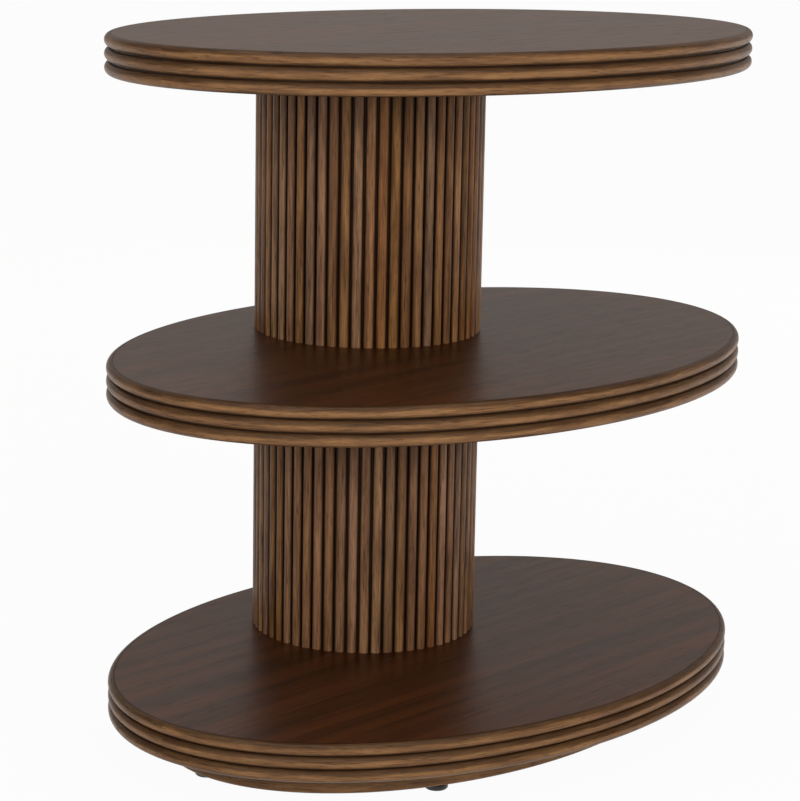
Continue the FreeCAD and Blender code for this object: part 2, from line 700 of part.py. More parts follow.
def make_insert(foot, x, y):
    low = "Derived.plinth_z"
    barrel = cylinder(f"{foot}_barrel", "Sizes.insert_diameter", "Sizes.insert_length", x, y, low)
    flange = cylinder(f"{foot}_flange", "Sizes.insert_flange", "Sizes.insert_flange_thick", x, y, low)
    bore = cylinder(f"{foot}_bore", "Sizes.stud_diameter + 2 * Sizes.running_gap", "Sizes.insert_length",
                    x, y, low)
    return cut(f"{foot}_insert", fuse(f"{foot}_insert_blank", [barrel, flange]), bore)


def make_pad(foot, x, y):
    sole = cone(f"{foot}_sole", "Sizes.pad_diameter - 2 * Sizes.pad_edge", "Sizes.pad_diameter",
                "Sizes.pad_edge", x, y)
    disc = cylinder(f"{foot}_disc", "Sizes.pad_diameter", "Sizes.pad_height - Sizes.pad_edge", x, y,
                    "Sizes.pad_edge")
    socket = hexagon(f"{foot}_socket", "Sizes.stud_head_flats + 2 * Sizes.fit_gap",
                     "Sizes.stud_head_height", x, y, "Derived.stud_z")
    keep(cut(f"foot_{foot}_pad", fuse(f"{foot}_pad_blank", [sole, disc]), socket), f"foot_{foot}_pad")


def check_and_write():
    doc.recompute()
    for item in doc.Objects:
        for state in ("Invalid", "Error"):
            if state in item.State:
                raise RuntimeError(f"{item.Label} is {state}: {item.getStatusString()}")
    for item in parts:
        shape = item.Shape
        if shape.isNull() or not shape.isValid() or not shape.Solids:
            raise RuntimeError(f"{item.Label} has no sound solid")
    os.makedirs("parts", exist_ok=True)
    for item in parts:
        item.Shape.exportStep(f"parts/{item.Label}.step")
        print(item.Label, len(item.Shape.Solids), round(item.Shape.Volume, 1))


for shelf, level in SHELVES.items():
    make_rim(shelf, level)
    make_core(shelf, level)
    make_face(shelf, level)
    make_backing(shelf, level)
for column, (level, height) in COLUMNS.items():
    make_drum(column, level, height)
    make_reeds(column, level, height)
    make_disc(column, "bottom", "Derived." + level)
    make_disc(column, "top", f"Derived.{level} + {height} - Sizes.disc_thick")
make_plinth()
make_plinth_screws()
make_tie()
make_dowels()
make_feet()
check_and_write()
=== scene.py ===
import json
import math

import bmesh
import bpy
from bpy.props import FloatProperty, FloatVectorProperty, PointerProperty
from mathutils import Matrix, Vector


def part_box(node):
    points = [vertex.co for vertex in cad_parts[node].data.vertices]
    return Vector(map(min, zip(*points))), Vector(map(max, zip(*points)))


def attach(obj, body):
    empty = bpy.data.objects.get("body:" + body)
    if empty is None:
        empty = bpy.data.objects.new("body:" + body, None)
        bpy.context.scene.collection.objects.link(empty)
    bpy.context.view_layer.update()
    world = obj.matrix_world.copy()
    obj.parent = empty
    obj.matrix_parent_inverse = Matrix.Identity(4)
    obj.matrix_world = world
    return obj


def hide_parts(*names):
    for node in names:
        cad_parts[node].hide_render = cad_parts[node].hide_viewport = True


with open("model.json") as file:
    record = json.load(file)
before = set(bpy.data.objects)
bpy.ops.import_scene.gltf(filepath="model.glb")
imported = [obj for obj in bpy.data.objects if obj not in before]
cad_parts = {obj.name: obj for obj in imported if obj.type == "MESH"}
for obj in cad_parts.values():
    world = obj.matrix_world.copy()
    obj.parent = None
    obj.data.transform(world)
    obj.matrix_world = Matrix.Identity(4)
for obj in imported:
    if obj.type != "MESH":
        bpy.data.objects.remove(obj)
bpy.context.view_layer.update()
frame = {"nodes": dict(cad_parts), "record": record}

bl_info = {
    "name": "Side Table Finish",
    "version": (1, 0, 0),
    "blender": (4, 5, 0),
    "location": "3D View > Sidebar > Side Table",
    "description": "Finishes a tiered oval side table: stained walnut, turned fittings, feet and a studio",
    "category": "Object",
}

MM = 0.001
FULL_TURN = 2 * math.pi

SHELVES = ("top", "middle", "base")
QUARTERS = ("front_left", "front_right", "back_left", "back_right")
COLUMNS = ("upper", "lower")
COLUMN_ENDS = ("bottom", "top")
PLINTH_SIDES = ("front", "back", "left", "right")
FEET = ("left", "right", "front_left", "front_right", "back_left", "back_right")
BODY_OF = {node: body for body, nodes in frame["record"]["behaviour"]["bodies"].items() for node in nodes}

# The curve from sRGB to linear light
SRGB_KNEE = 0.04045
SRGB_SLOPE = 12.92
SRGB_OFFSET = 0.055
SRGB_POWER = 2.4

# Sockets of the Mix node, by number because their names repeat
MIX_FACTOR = 0
MIX_FROM = 2
MIX_TO = 3
MIX_FIRST = 6
MIX_SECOND = 7
MIX_COLOUR = 2

# Meshes: faces that meet at more than the sharp angle keep an edge, at less than the flat one they join
SHARP_ANGLE = math.radians(32)
FLAT_ANGLE = math.radians(0.5)
MERGE_DISTANCE = 0.002 * MM
# How far a corner of the mesh may lie off the round edge that it belongs to
OFF_CIRCLE = 0.06 * MM
ROUNDING_STEPS = 4

# Range of the noise that becomes bands, growth lines or pores, and the noise's detail
BANDS = (0.32, 0.68, 2.0)
LINES = (0.3, 0.7, 3.0)
PORES = (0.54, 0.72, 1.0)
GRAIN_ROUGHNESS = 0.55
# How much duller the lacquer is over a pore
PORE_DULLNESS = 0.12
# Sliced veneer: long even bands, faint pores. Sawn solid wood: shorter, finer and stronger streaks
SLICED = {"band_run": 500 * MM, "line_run": 220 * MM, "pore_run": 30 * MM, "fineness": 1.0,
          "line_share": 0.4, "pore_strength": 0.35}
SAWN = {"band_run": 70 * MM, "line_run": 40 * MM, "pore_run": 14 * MM, "fineness": 0.42,
        "line_share": 0.5, "pore_strength": 0.6}

# Edge mouldings: beads one above the other, with a narrow quirk between two
BEADS = 3
QUIRK = 0.9 * MM
BEAD_DEPTH = 4.9 * MM
# The glaze is wiped downward and painted shade darkens the beads' sides: the clean, unshaded strip lies a
# little under each crest, with smeared edges
WIPED_UNSHADED_DROP = 1.3 * MM
SMEAR = 4.4 * MM
SMEAR_RUN = 71.43 * MM
SMEAR_WIDTH = 5 * MM
SMEAR_DETAIL = 3.0
# Thin wash of glaze, with painted shade, on a bead's sides, as shares of half its height
WASH_AND_SHADE_START = 0.22
WASH_AND_SHADE_END = 0.85
WASH_AND_SHADE_STRENGTH = 0.68
# Solid glaze and painted shade in the hollows, as shares of the beads' depth
DEPTH_START = 0.45
DEPTH_END = 0.95
GLAZE_AND_SHADE_STRENGTH = 0.95
# The face's stain runs a little way over the upper bead, in full over the first third of it
FACE_STAIN = 2.2 * MM
STAIN_FULL = 1 / 3
STAIN_STRENGTH = 0.75
# Painted shadow line, in glaze colour, where the plinth meets the shelf
PLINTH_SHADOW_LINE = 2.2 * MM

# Reeds
REEDS = 58
REED_DEPTH = 4.5 * MM
# Glaze and painted shade beside a reed, as shares of its depth from the crown down
BESIDE_START = 0.12
BESIDE_END = 0.62
# Painted shade close under a shelf, in glaze colour, over this height and at this strength
SHADE_UNDER_SHELF = 34 * MM
SHADE_UNDER_STRENGTH = 0.55
# From reed to reed the grain is taken this much further on
REED_SHIFT = 1700 * MM
# A height between the two columns
COLUMN_SPLIT = 320 * MM
# Least and most saturation and hue of a reed, where 1 and 0.5 leave the tone as it is
REED_WARMTH = (0.9, 1.12)
REED_HUE = (0.496, 0.504)

# Drums, boards and dowels
PLYWOOD_ROUGHNESS = 0.62
PLY = 1.5 * MM
PLY_EDGE = (0.4, 0.6)
STAIN_DEPTH = 0.4 * MM
BOARD_ROUGHNESS = 0.82
# A clump of fibres, since a single one is too fine to show
FIBRE = 1.4 * MM
FIBRE_DETAIL = 4.0
FIBRE_RANGE = (0.35, 0.65)
FIBRE_SHADE = 0.72
FIBRE_RELIEF = 0.08 * MM
DOWEL_ROUGHNESS = 0.7
FLECK_WIDTH = 0.556 * MM
FLECK_RUN = 3.85 * MM
FLECK_DETAIL = 2.0
FLECK_RANGE = (0.4, 0.7)
FLECK_SHADE = 0.6

# Plated fittings
THREAD_ROUGHNESS = 0.34
NUT_ROUGHNESS = 0.3
SCREW_ROUGHNESS = 0.32
PLATE_ROUGHNESS = 0.38
INSERT_ROUGHNESS = 0.46
ROUGHNESS_SPREAD = 0.08
BLOOM = 6 * MM
BLOOM_DETAIL = 3.0
# The grain of the plating, several times as coarse as the real one so that it shows
PLATE_GRAIN = 0.5 * MM
PLATE_DETAIL = 2.0
PLATE_RELIEF = 0.01 * MM
THREAD_STEPS = 16
CHAMFER_SIDES = 24
CHAMFER_ANGLE = math.radians(28)
# Radius of a nut's chamfer on its end face, as a share of half its width across the flats
CHAMFER_START = 0.95
HEXAGON = 6
STUD_RADIUS = 4 * MM
STUD_HEAD = 3.2 * MM

# Foot pads
NYLON_ROUGHNESS = 0.48
# The pits of the spark-eroded tool, a few times as coarse as the real ones so that they show
SPARK_GRIT = 0.35 * MM
SPARK_RELIEF = 0.03 * MM
SPARK_LIFT = 0.012

# Stage
FLOOR_ROUGHNESS = 0.9
FLOOR_PATCH = 666.7 * MM
FLOOR_PATCH_SHARE = 1.02
# How white the floor is where it is seen directly or mirrored; the rest of it keeps the table's shadow
FLOOR_GLOW = 0.96
# The room is bright behind the table and dim from its sides on, where -1 is straight behind it
ROOM_BRIGHT = -0.85
ROOM_DIM = -0.1
# The wide light overhead shines from a little on the camera's side
CEILING_ANGLE = math.radians(80)
CEILING_FORWARD = 0.8
CEILING_HEIGHT = 3.0
# Each soft box: metres from the table towards the camera, and to the camera's right
BOXES = {"left_box": (2.4, -1.35), "right_box": (2.4, 1.25), "back_box": (-2.6, 0.6)}
BOX_WIDTH = 1.8
BOX_DEPTH = 0.8
BOX_HEIGHT = 1.1
LAMP_AIM = 0.3


def linear(code):
    """an sRGB hex colour as the linear numbers that a shader takes"""
    shares = [int(code[start:start + 2], 16) / 255 for start in (1, 3, 5)]
    return [share / SRGB_SLOPE if share <= SRGB_KNEE
            else ((share + SRGB_OFFSET) / (1 + SRGB_OFFSET)) ** SRGB_POWER for share in shares]


def colour(name, code, description):
    return FloatVectorProperty(name=name, description=description, subtype="COLOR", size=3, min=0, max=1,
                               default=linear(code))


def length(name, size, description):
    """a length property; size is in millimetres"""
    return FloatProperty(name=name, description=description, default=size * MM, min=0, unit="LENGTH")


def share(name, value, description):
    return FloatProperty(name=name, description=description, default=value, min=0, max=1, subtype="FACTOR")


def angle(name, turn, description):
    """an angle property; turn is in radians"""
    return FloatProperty(name=name, description=description, default=turn, subtype="ANGLE")


def power(name, watts, description):
    return FloatProperty(name=name, description=description, default=watts, min=0, unit="POWER")


class SideTableWood(bpy.types.PropertyGroup):
    face_light: colour("Face, light", "#49250f", "Light grain of the stained face veneer")
    face_dark: colour("Face, dark", "#241106", "Dark grain of the stained face veneer")
    moulding_light: colour("Moulding, light", "#8f6944", "Light grain of the edge mouldings and plinth")
    moulding_dark: colour("Moulding, dark", "#5e412b", "Dark grain of the edge mouldings and plinth")
    reed_light: colour("Reeds, light", "#9b724f", "Light grain of the half-round reeds")
    reed_dark: colour("Reeds, dark", "#5a3c27", "Dark grain of the half-round reeds")
    # The glaze colour also paints shade: in the quirks, on the beads' sides, beside the reeds, under the
    # shelves and at the plinth's top
    glaze: colour("Glaze", "#1d0d04", "Dark glaze left in the quirks and beside the reeds")
    pore: colour("Pores", "#1a0d06", "Open pores filled with dark stain")
    drum: colour("Drum", "#24160d", "Stained outside of the bent plywood drums")
    board: colour("Board", "#a98a63", "Wood fibre of the core boards")
    beech: colour("Beech", "#cfa878", "Dowels and plies")
    band_width: length("Band width", 15, "Width of the soft light and dark bands across the veneer")
    line_width: length("Line width", 2.6, "Width of the growth lines across the veneer")
    pore_width: length("Pore width", 0.6, "Width of a pore, about twice the real one so that it shows")
    pore_depth: length("Pore depth", 0.05, "Depth of a pore under the thin lacquer of mouldings and reeds")
    face_pore_depth: length("Face pore depth", 0.035, "Depth of a pore under the fuller lacquer of the faces")
    face_roughness: share("Face roughness", 0.35, "Roughness of the rubbed lacquer on the faces")
    face_gloss: share("Face gloss", 0.3, "Specular level of the rubbed lacquer on the faces")
    roughness: share("Lacquer roughness", 0.36, "Roughness of the lacquer on mouldings, reeds and plinth")
    gloss: share("Wiped gloss", 0.16, "Specular level of the thin lacquer over the wiped glaze")
    reed_spread: share("Reed spread", 0.3, "How much the reeds differ from each other in tone")


class SideTableFittings(bpy.types.PropertyGroup):
    zinc: colour("Zinc", "#b9bcbd", "Bright zinc plating on the steel fittings")
    passivation: colour("Passivation", "#a8a58f", "Faint yellow tint of the passivated plating")
    alloy: colour("Insert", "#9d9a90", "Die-cast zinc of the threaded inserts")
    nylon: colour("Nylon", "#0e0e0f", "Black nylon of the foot pads")
    rod_pitch: length("Rod pitch", 1.5, "Thread pitch of the tie rod")
    stud_pitch: length("Stud pitch", 1.25, "Thread pitch of the levelling studs")
    thread_depth: length("Thread depth", 0.7, "Depth of the rolled threads")
    pad_rounding: length("Pad rounding", 0.9, "Rounding of the moulded foot pads' edges")
    head_rounding: length("Head rounding", 1.3, "Rounding of the pan-head screws")


class SideTableStage(bpy.types.PropertyGroup):
    azimuth: angle("Azimuth", -0.8487, "Where the camera stands, from the front")
    elevation: angle("Elevation", 0.2263, "Height of the camera as an angle")
    roll: angle("Roll", 0.0186, "Turn of the camera about its own axis")
    pan: angle("Pan", 0.0134, "Turn of the camera to the side, off the aim")
    tilt: angle("Tilt", -0.0129, "Turn of the camera upward, off the aim")
    distance: length("Distance", 2319.3, "From the camera to the point it is aimed at")
    aim_height: length("Aim height", 256.6, "Height of the point that the camera is aimed at")
    lens: FloatProperty(name="Lens", description="Focal length in millimetres on a 36 mm sensor",
                        default=115.69)
    floor_colour: colour("Floor", "#bab8b6", "Pale floor")
    floor_size: length("Floor size", 1000000, "Width of the floor, so large that its end never shows")
    room: colour("Room", "#bdb4ad", "Warm grey of the room behind the table")
    front_share: share("Front of the room", 0.26, "How bright the room is behind the camera, as a share")
    ceiling: FloatProperty(name="Ceiling light", description="Strength of the wide diffused light overhead",
                           default=1.7)
    left_power: power("Left lamp", 22, "Power of the soft box left of the camera")
    right_power: power("Right lamp", 45, "Power of the soft box right of the camera")
    back_power: power("Back lamp", 19, "Power of the soft box behind the table")


# Nodes, materials and pieces

def node(tree, kind, inputs=None, **settings):
    """adds one shader node: settings are its own, inputs are numbers or the sockets that feed it"""
    made = tree.nodes.new(kind)
    for name, value in settings.items():
        setattr(made, name, value)
    for name, value in (inputs or {}).items():
        if isinstance(value, bpy.types.NodeSocket):
            tree.links.new(value, made.inputs[name])
        else:
            made.inputs[name].default_value = value
    return made


def new_material(name, surface=None):
    """a material, its tree and its shader; surface sets numbers on the shader's own sockets"""
    material = bpy.data.materials.new(name)
    material.use_nodes = True
    shader = material.node_tree.nodes["Principled BSDF"]
    for socket, value in (surface or {}).items():
        shader.inputs[socket].default_value = value
    return material, material.node_tree, shader


def opaque(rgb):
    return (*rgb, 1.0)


def finish(names, material):
    """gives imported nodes' own objects the material"""
    for name in names:
        for slot in frame["nodes"][name].material_slots:
            slot.material = material


def new_piece(name, bm, material):
    """an object at the origin, its place in its mesh, smooth except at real edges"""
    bmesh.ops.recalc_face_normals(bm, faces=bm.faces)
    for face in bm.faces:
        face.smooth = True
    mesh = bpy.data.meshes.new(name)
    bm.to_mesh(mesh)
    bm.free()
    mesh.set_sharp_from_angle(angle=SHARP_ANGLE)
    mesh.materials.append(material)
    piece = bpy.data.objects.new(name, mesh)
    bpy.context.scene.collection.objects.link(piece)
    return piece


def stand_for(packed, bm, material):
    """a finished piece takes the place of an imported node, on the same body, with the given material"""
    piece = new_piece(packed + "_finished", bm, material)
    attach(piece, BODY_OF[packed])
    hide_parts(packed)


def merged_copy(packed):
    """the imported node's mesh as closed shells with their flat faces whole"""
    bm = bmesh.new()
    bm.from_mesh(frame["nodes"][packed].data)
    bmesh.ops.remove_doubles(bm, verts=bm.verts, dist=MERGE_DISTANCE)
    bmesh.ops.dissolve_limit(bm, angle_limit=FLAT_ANGLE, verts=bm.verts, edges=bm.edges)
    return bm


# Wood

def grain_masks(tree, along, sizes):
    """one mask for each size; along runs with the grain in its first axis, in metres"""
    masks = []
    for run, width, (low, high, detail) in sizes:
        stretched = node(tree, "ShaderNodeMapping",
                         {"Vector": along, "Scale": (1 / run, 1 / width, 1 / width)}).outputs["Vector"]
        noise = node(tree, "ShaderNodeTexNoise", {"Vector": stretched, "Scale": 1.0, "Detail": detail,
                                                  "Roughness": GRAIN_ROUGHNESS}).outputs[0]
        masks.append(node(tree, "ShaderNodeMapRange", {"Value": noise, "From Min": low, "From Max": high},
                          interpolation_type="SMOOTHSTEP").outputs["Result"])
    return masks


def wood_grain(tree, along, light, dark, wood, cut):
    """colour and pores of stained open-pored wood, in the figure of one cut"""
    bands, lines, pores = grain_masks(tree, along, (
        (cut["band_run"], wood.band_width * cut["fineness"], BANDS),
        (cut["line_run"], wood.line_width * cut["fineness"], LINES),
        (cut["pore_run"], wood.pore_width, PORES),
    ))
    figure = node(tree, "ShaderNodeMix", {MIX_FACTOR: cut["line_share"], MIX_FROM: bands, MIX_TO: lines}
                  ).outputs[0]
    tone = node(tree, "ShaderNodeMix",
                {MIX_FACTOR: figure, MIX_FIRST: opaque(dark), MIX_SECOND: opaque(light)},
                data_type="RGBA").outputs[MIX_COLOUR]
    pore_share = node(tree, "ShaderNodeMath", {0: pores, 1: cut["pore_strength"]}, operation="MULTIPLY"
                      ).outputs[0]
    stained = node(tree, "ShaderNodeMix",
                   {MIX_FACTOR: pore_share, MIX_FIRST: tone, MIX_SECOND: opaque(wood.pore)},
                   data_type="RGBA").outputs[MIX_COLOUR]
    return stained, pores


def lacquer(tree, shader, tone, pores, depth, roughness):
    """satin lacquer that sinks a little into the pores"""
    tree.links.new(tone, shader.inputs["Base Color"])
    relief = node(tree, "ShaderNodeBump", {"Height": pores, "Distance": depth, "Strength": 1.0},
                  invert=True)
    tree.links.new(relief.outputs["Normal"], shader.inputs["Normal"])
    dull = node(tree, "ShaderNodeMapRange", {"Value": pores, "To Min": roughness,
                                             "To Max": roughness + PORE_DULLNESS})
    tree.links.new(dull.outputs["Result"], shader.inputs["Roughness"])


def glaze_shade_and_lacquer(tree, shader, tone, covered, pores, wood):
    """dark glaze, and painted shade in the glaze's colour, on the covered share of the wood, and thin satin
    lacquer over it
    """
    glazed = node(tree, "ShaderNodeMix",
                  {MIX_FACTOR: covered, MIX_FIRST: tone, MIX_SECOND: opaque(wood.glaze)},
                  data_type="RGBA").outputs[MIX_COLOUR]
    lacquer(tree, shader, glazed, pores, wood.pore_depth, wood.roughness)


def round_oval(tree, half_length, half_depth):
    """way round an oval, height and distance outside the oval, in metres, as three sockets"""
    squeeze = half_length / half_depth
    place = node(tree, "ShaderNodeTexCoord").outputs["Object"]
    flat = node(tree, "ShaderNodeVectorMath", {0: place, 1: (1, squeeze, 0)}, operation="MULTIPLY"
                ).outputs[0]
    radius = node(tree, "ShaderNodeVectorMath", {0: flat}, operation="LENGTH").outputs["Value"]
    slope = node(tree, "ShaderNodeVectorMath", {0: flat, 1: (1, squeeze, 0)}, operation="MULTIPLY"
                 ).outputs[0]
    steepness = node(tree, "ShaderNodeVectorMath", {0: slope}, operation="LENGTH").outputs["Value"]
    past = node(tree, "ShaderNodeMath", {0: radius, 1: half_length}, operation="SUBTRACT").outputs[0]
    scaled = node(tree, "ShaderNodeMath", {0: past, 1: radius}, operation="MULTIPLY").outputs[0]
    outward = node(tree, "ShaderNodeMath", {0: scaled, 1: steepness}, operation="DIVIDE").outputs[0]
    axes = node(tree, "ShaderNodeSeparateXYZ", {"Vector": flat})
    turn = node(tree, "ShaderNodeMath", {0: axes.outputs["Y"], 1: axes.outputs["X"]},
                operation="ARCTAN2").outputs[0]
    way = node(tree, "ShaderNodeMath", {0: turn, 1: half_length}, operation="MULTIPLY").outputs[0]
    height = node(tree, "ShaderNodeSeparateXYZ", {"Vector": place}).outputs["Z"]
    return way, height, outward


def shelf_face_material(wood):
    """Walnut veneer, stained dark and lacquered satin: straight fine grain along the oval, a soft grey
    sheen at a low angle"""
    material, tree, shader = new_material("stained_walnut_face_veneer",
                                          {"Specular IOR Level": wood.face_gloss})
    place = node(tree, "ShaderNodeTexCoord").outputs["Object"]
    tone, pores = wood_grain(tree, place, wood.face_light, wood.face_dark, wood, SLICED)
    lacquer(tree, shader, tone, pores, wood.face_pore_depth, wood.face_roughness)
    return material


def moulding_material(shelf, wood):
    """Solid walnut edge moulding, brown glaze wiped off the beads and left in the quirks, satin lacquer,
    with painted shade on the beads' sides and in the quirks: golden crests, near-black hollows"""
    low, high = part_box(shelf + "_rim_front_left")
    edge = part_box(shelf + "_rim_front_right")[1]
    material, tree, shader = new_material(f"glazed_walnut_moulding_{shelf}",
                                          {"Specular IOR Level": wood.gloss})
    way, height, outward = round_oval(tree, edge.x, -low.y)
    along = node(tree, "ShaderNodeCombineXYZ", {"X": way, "Y": height, "Z": outward}).outputs[0]
    tone, pores = wood_grain(tree, along, wood.moulding_light, wood.moulding_dark, wood, SAWN)
    pitch = (high.z - low.z + QUIRK) / BEADS
    half = (pitch - QUIRK) / 2
    up = node(tree, "ShaderNodeMath", {0: height, 1: low.z - QUIRK}, operation="SUBTRACT").outputs[0]
    inside = node(tree, "ShaderNodeMath", {0: up, 1: pitch}, operation="FLOORED_MODULO").outputs[0]
    off = node(tree, "ShaderNodeMath", {0: inside, 1: QUIRK + half - WIPED_UNSHADED_DROP}, operation="SUBTRACT"
               ).outputs[0]
    off_unshaded = node(tree, "ShaderNodeMath", {0: off}, operation="ABSOLUTE").outputs[0]
    streaks = node(tree, "ShaderNodeMapping",
                   {"Vector": along, "Scale": (1 / SMEAR_RUN, 1 / SMEAR_WIDTH, 1 / SMEAR_WIDTH)}).outputs[0]
    smear = node(tree, "ShaderNodeTexNoise", {"Vector": streaks, "Scale": 1.0, "Detail": SMEAR_DETAIL}
                 ).outputs[0]
    ragged = node(tree, "ShaderNodeMath", {0: smear, 1: SMEAR, 2: off_unshaded}, operation="MULTIPLY_ADD"
                  ).outputs[0]
    # Glaze wash and painted shade: the beads' sides darker, a lighter strip a little under each crest
    glaze_wash_and_shade = node(tree, "ShaderNodeMapRange",
                {"Value": ragged, "From Min": half * WASH_AND_SHADE_START + SMEAR / 2,
                 "From Max": half * WASH_AND_SHADE_END + SMEAR / 2, "To Max": WASH_AND_SHADE_STRENGTH},
                interpolation_type="SMOOTHSTEP").outputs[0]
    # Glaze and painted shade in the quirks between the beads
    depth = node(tree, "ShaderNodeMapRange",
                 {"Value": outward, "From Min": -BEAD_DEPTH * DEPTH_START,
                  "From Max": -BEAD_DEPTH * DEPTH_END, "To Max": GLAZE_AND_SHADE_STRENGTH},
                 interpolation_type="SMOOTHSTEP").outputs[0]
    by_face = node(tree, "ShaderNodeMapRange",
                   {"Value": height, "From Min": high.z - FACE_STAIN,
                    "From Max": high.z - FACE_STAIN * STAIN_FULL, "To Max": STAIN_STRENGTH},
                   interpolation_type="SMOOTHSTEP").outputs[0]
    hollows = node(tree, "ShaderNodeMath", {0: glaze_wash_and_shade, 1: depth}, operation="MAXIMUM").outputs[0]
    covered = node(tree, "ShaderNodeMath", {0: hollows, 1: by_face}, operation="MAXIMUM").outputs[0]
    glaze_shade_and_lacquer(tree, shader, tone, covered, pores, wood)
    return material


def plinth_material(wood):
    """Solid walnut, sawn to the oval and stained like the mouldings, satin lacquer: plain streaked band,
    with a painted shadow where it meets the shelf"""
    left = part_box("plinth_left")[0].x
    low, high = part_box("plinth_front")
    material, tree, shader = new_material("stained_walnut_plinth", {"Specular IOR Level": wood.gloss})
    way, height, outward = round_oval(tree, -left, -low.y)
    along = node(tree, "ShaderNodeCombineXYZ", {"X": way, "Y": height, "Z": outward}).outputs[0]
    tone, pores = wood_grain(tree, along, wood.moulding_light, wood.moulding_dark, wood, SAWN)
    # Painted shadow: darker towards the shelf, in glaze colour
    shadow_by_shelf = node(tree, "ShaderNodeMapRange",
                    {"Value": height, "From Min": high.z - PLINTH_SHADOW_LINE, "From Max": high.z,
                     "To Max": GLAZE_AND_SHADE_STRENGTH}, interpolation_type="SMOOTHSTEP").outputs[0]
    glaze_shade_and_lacquer(tree, shader, tone, shadow_by_shelf, pores, wood)
    return material


def round_column(tree, centre_y):
    """turn about a column's axis, height and radius as three sockets"""
    place = node(tree, "ShaderNodeTexCoord").outputs["Object"]
    centred = node(tree, "ShaderNodeMapping", {"Vector": place, "Location": (0, -centre_y, 0)}).outputs[0]
    axes = node(tree, "ShaderNodeSeparateXYZ", {"Vector": centred})
    turn = node(tree, "ShaderNodeMath", {0: axes.outputs["Y"], 1: axes.outputs["X"]},
                operation="ARCTAN2").outputs[0]
    flat = node(tree, "ShaderNodeVectorMath", {0: centred, 1: (1, 1, 0)}, operation="MULTIPLY").outputs[0]
    radius = node(tree, "ShaderNodeVectorMath", {0: flat}, operation="LENGTH").outputs["Value"]
    return turn, axes.outputs["Z"], radius


def reed_material(wood):
    """Half-round walnut reeds, glazed and wiped, satin lacquer: each reed its own tone, glaze and painted
    shade beside the gaps, painted shade close under the shelf"""
    low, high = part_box("upper_reeds")
    lower_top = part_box("lower_reeds")[1].z
    outer = (high.x - low.x) / 2
    material, tree, shader = new_material("glazed_walnut_reeds", {"Specular IOR Level": wood.gloss})
    turn, height, radius = round_column(tree, (high.y + low.y) / 2)
    # A reed's middle is at turn 0, so the count is half a reed on
    counted = node(tree, "ShaderNodeMath", {0: turn, 1: REEDS / FULL_TURN, 2: REEDS + 0.5},
                   operation="MULTIPLY_ADD").outputs[0]
    wrapped = node(tree, "ShaderNodeMath", {0: counted, 1: REEDS}, operation="FLOORED_MODULO").outputs[0]
    index = node(tree, "ShaderNodeMath", {0: wrapped}, operation="FLOOR").outputs[0]
    column = node(tree, "ShaderNodeMath", {0: height, 1: COLUMN_SPLIT}, operation="GREATER_THAN").outputs[0]
    own = node(tree, "ShaderNodeMath", {0: column, 1: REEDS, 2: index}, operation="MULTIPLY_ADD").outputs[0]
    chance = node(tree, "ShaderNodeTexWhiteNoise", {"W": own}, noise_dimensions="1D")
    draws = node(tree, "ShaderNodeSeparateColor", {"Color": chance.outputs["Color"]})
    shifted = node(tree, "ShaderNodeMath", {0: own, 1: REED_SHIFT, 2: height},
                   operation="MULTIPLY_ADD").outputs[0]
    way = node(tree, "ShaderNodeMath", {0: turn, 1: outer}, operation="MULTIPLY").outputs[0]
    along = node(tree, "ShaderNodeCombineXYZ", {"X": shifted, "Y": way, "Z": radius}).outputs[0]
    tone, pores = wood_grain(tree, along, wood.reed_light, wood.reed_dark, wood, SAWN)
    bright, warm, hue = (
        node(tree, "ShaderNodeMapRange", {"Value": draws.outputs[draw], "To Min": least, "To Max": most}
             ).outputs[0]
        for draw, (least, most) in (("Red", (1 - wood.reed_spread, 1 + wood.reed_spread / 2)),
                                    ("Green", REED_WARMTH), ("Blue", REED_HUE)))
    own_tone = node(tree, "ShaderNodeHueSaturation",
                    {"Hue": hue, "Saturation": warm, "Value": bright, "Color": tone}).outputs[0]
    # Glaze in the gaps, widened with painted shade over the reeds' sides
    beside = node(tree, "ShaderNodeMapRange",
                  {"Value": radius, "From Min": outer - REED_DEPTH * BESIDE_START,
                   "From Max": outer - REED_DEPTH * BESIDE_END}, interpolation_type="SMOOTHSTEP").outputs[0]
    sides = node(tree, "ShaderNodeMath", {0: beside, 1: GLAZE_AND_SHADE_STRENGTH}, operation="MULTIPLY").outputs[0]
    # Painted shade: darker close under the shelf above
    shelf_above = node(tree, "ShaderNodeMath", {0: column, 1: high.z - lower_top, 2: lower_top},
                       operation="MULTIPLY_ADD").outputs[0]
    below_shelf = node(tree, "ShaderNodeMath", {0: shelf_above, 1: height}, operation="SUBTRACT").outputs[0]
    under = node(tree, "ShaderNodeMapRange",
                 {"Value": below_shelf, "From Max": SHADE_UNDER_SHELF, "To Min": SHADE_UNDER_STRENGTH, "To Max": 0.0},
                 interpolation_type="SMOOTHSTEP").outputs[0]
    covered = node(tree, "ShaderNodeMath", {0: sides, 1: under}, operation="MAXIMUM").outputs[0]
    glaze_shade_and_lacquer(tree, shader, own_tone, covered, pores, wood)
    return material


